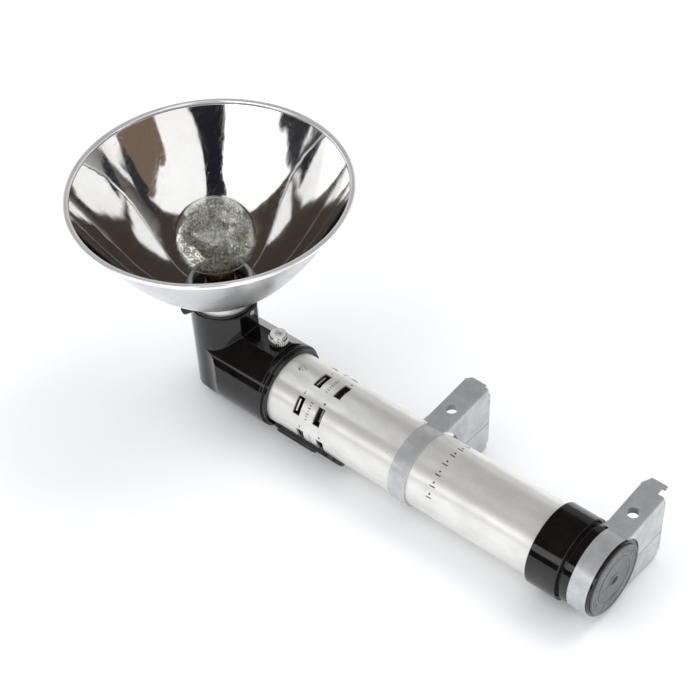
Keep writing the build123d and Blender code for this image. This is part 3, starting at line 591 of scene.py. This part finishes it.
def studio_world():
    """Sky round the object: bright walls, a leaning dark ceiling and a few dark forms."""
    world = bpy.data.worlds.new("studio")
    bpy.context.scene.world = world
    world.use_nodes = True
    direction = node(world, "ShaderNodeTexCoord").outputs["Generated"]
    split = node(world, "ShaderNodeSeparateXYZ")
    link(world, direction, split.inputs["Vector"])
    height = combine(world, "ARCSINE", split.outputs["Z"])
    height = combine(world, "MULTIPLY", height, DEGREES)
    bearing = combine(world, "ARCTAN2", split.outputs["Y"], split.outputs["X"])
    bearing = combine(world, "MULTIPLY", bearing, DEGREES)
    shake = combine(world, "SUBTRACT", noise(world, direction, 4.0, 0.5, 5.0), 0.5)
    shake = combine(world, "MULTIPLY", shake, 22.0)
    bob = combine(world, "MULTIPLY", shake, 0.4)

    def patch(azimuth, elevation, half_azimuth, half_elevation, soft):
        """1 inside a wobbly-edged area of the sky, 0 outside. Degrees; azimuth is from +X."""
        across = combine(world, "ABSOLUTE", combine(world, "SUBTRACT", bearing, azimuth))
        across = combine(world, "DIVIDE", combine(world, "ADD", across, shake), half_azimuth)
        up = combine(world, "ABSOLUTE", combine(world, "SUBTRACT", height, elevation))
        up = combine(world, "DIVIDE", combine(world, "ADD", up, bob), half_elevation)
        return remap(world, combine(world, "MAXIMUM", across, up), 1.0 + soft, 1.0 - soft)

    # The ceiling's edge is a great circle that is highest at azimuth -45.
    lean = combine(world, "MULTIPLY", combine(world, "ADD", bearing, 45.0), 1 / DEGREES)
    lean = combine(world, "MULTIPLY", combine(world, "COSINE", lean), CEILING_SLOPE)
    edge = combine(world, "MULTIPLY", combine(world, "ARCTANGENT", lean), DEGREES)
    ceiling = combine(world, "SUBTRACT", combine(world, "ADD", height, bob), edge)
    colour = mix(world, patch(-100.0, 14.0, 40.0, 22.0, 0.3), BRIGHT_WALL, FRONT_WINDOW)
    colour = mix(world, remap(world, ceiling, 3.5, 6.5), colour, DARK_CEILING)
    for area, tone in (
        (patch(-40.0, 66.0, 40.0, 8.0, 0.1), BRIGHT_WALL),
        (patch(125.0, 6.0, 78.0, 22.0, 0.25), GREY_WALL),
        (patch(-48.0, 34.0, 12.0, 20.0, 0.08), BLUE_BLACK),
        (patch(10.0, 18.0, 17.0, 7.5, 0.08), BROWN_SHADE),
        (patch(47.0, 11.0, 6.0, 4.0, 0.2), NEAR_BLACK),
        (patch(31.0, 21.0, 4.0, 8.0, 0.2), NEAR_BLACK),
        (patch(-120.0, 6.0, 14.0, 8.0, 0.2), NEAR_BLACK),
    ):
        colour = mix(world, area, colour, tone)
    path = node(world, "ShaderNodeLightPath")
    colour = mix(world, path.outputs["Is Diffuse Ray"], colour, ROOM_LIGHT)
    background = world.node_tree.nodes["Background"]
    link(world, colour, background.inputs["Color"])
    background.inputs["Strength"].default_value = 1.0


def soft_light(name, place, target, size, energy, colour):
    """Round area light that is left out of reflections."""
    data = bpy.data.lights.new(name, "AREA")
    data.shape = "DISK"
    data.size = size
    data.energy = energy
    data.color = colour
    found = bpy.data.objects.new(name, data)
    bpy.context.scene.collection.objects.link(found)
    found.location = place
    found.rotation_mode = "QUATERNION"
    found.rotation_quaternion = (Vector(target) - Vector(place)).to_track_quat("-Z", "Y")
    found.visible_glossy = False


def make_floor():
    """White paper that the object lies on."""
    mat = shader("paper_floor", (0.90, 0.90, 0.905), 0.0, 0.9)
    fibre = even_noise(mat, 400, 4.0)
    tint = mix(mat, fibre, (0.895, 0.896, 0.90), (0.915, 0.915, 0.915))
    link(mat, tint, socket(mat, "Base Color"))
    mesh = bpy.data.meshes.new("floor")
    signs = ((-1, -1), (1, -1), (1, 1), (-1, 1))
    corners = [(FLOOR_REACH * x, FLOOR_REACH * y, 0) for x, y in signs]
    mesh.from_pydata(corners, [], [(0, 1, 2, 3)])
    floor = new_object("floor", mesh, [mat])


def make_camera():
    """Camera on an orbit about a target, with a small roll."""
    turn = math.radians(CAMERA_TURN)
    rise = math.radians(CAMERA_RISE)
    level = math.cos(rise)
    back = Vector((math.sin(turn) * level, -math.cos(turn) * level, math.sin(rise)))
    right = Vector((math.cos(turn), math.sin(turn), 0))
    facing = Matrix((right, back.cross(right), back)).transposed().to_4x4()
    matrix = facing @ Matrix.Rotation(math.radians(CAMERA_ROLL), 4, "Z")
    matrix.translation = Vector(CAMERA_TARGET) + back * CAMERA_DISTANCE
    data = bpy.data.cameras.new("camera")
    data.sensor_width = 36
    data.lens = CAMERA_LENS
    data.clip_start = 0.01
    found = bpy.data.objects.new("camera", data)
    bpy.context.scene.collection.objects.link(found)
    found.matrix_world = matrix
    bpy.context.scene.camera = found


# ---------------------------------------------------------------- build

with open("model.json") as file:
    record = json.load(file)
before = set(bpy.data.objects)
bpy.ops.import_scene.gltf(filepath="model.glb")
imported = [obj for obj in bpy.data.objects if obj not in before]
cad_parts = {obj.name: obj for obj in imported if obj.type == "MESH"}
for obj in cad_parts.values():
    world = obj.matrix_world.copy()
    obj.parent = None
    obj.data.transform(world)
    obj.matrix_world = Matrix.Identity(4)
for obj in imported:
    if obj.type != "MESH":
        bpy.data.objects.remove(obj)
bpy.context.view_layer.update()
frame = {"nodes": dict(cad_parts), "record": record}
glass_low, glass_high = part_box("bulb_glass")
materials = make_materials(glass_low.z + AMBER_HEIGHT)
slots = {part["node"]: part["material_slot"] for part in frame["record"]["subparts"]}
for name, found in frame["nodes"].items():
    found.data.materials.clear()
    found.data.materials.append(materials[slots[name]])

bowl_low, bowl_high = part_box("reflector_bowl")
satin_outside = spun_satin("bowl_outside", (0.80, 0.81, 0.82), 0.30)
polished_edge = spun_satin("bowl_edge", (0.95, 0.95, 0.95), 0.09, 0.65)
bowl = make_bowl(bowl_low, bowl_high, [satin_outside, materials["mirror_bowl"], polished_edge])
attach(bowl, "reflector")
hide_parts("reflector_bowl")

globe_r = (glass_high.x - glass_low.x) / 2
globe_middle = Vector(((glass_low.x + glass_high.x) / 2, 0, glass_high.z - globe_r))
foil = make_foil(globe_middle, globe_r - GLOBE_WALL - FOIL_GAP, materials["foil"])
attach(foil, "bulb")
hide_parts("bulb_foil")

make_spring("plunger_spring", "reflector")
make_spring("switch_spring", "battery_case")

tube_low, tube_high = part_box("tube")
tube_r = (tube_high.z - tube_low.z) / 2
tube_middle = (tube_low + tube_high) / 2
ink = moulded("mark_ink", (0.030, 0.030, 0.032), 0.5, 0.2)
marks = make_marks(tube_r, tube_middle, ink)
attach(marks, "battery_case")

make_floor()
studio_world()
middle = (0.0, 0.0, 0.03)
soft_light("key", (0.45, 1.05, 1.9), middle, size=1.3, energy=15.0, colour=(1.0, 0.985, 0.96))
soft_light("fill", (-0.7, -1.2, 1.6), middle, size=2.0, energy=12.0, colour=(0.97, 0.985, 1.0))
make_camera()
bpy.context.scene.view_settings.view_transform = "Standard"
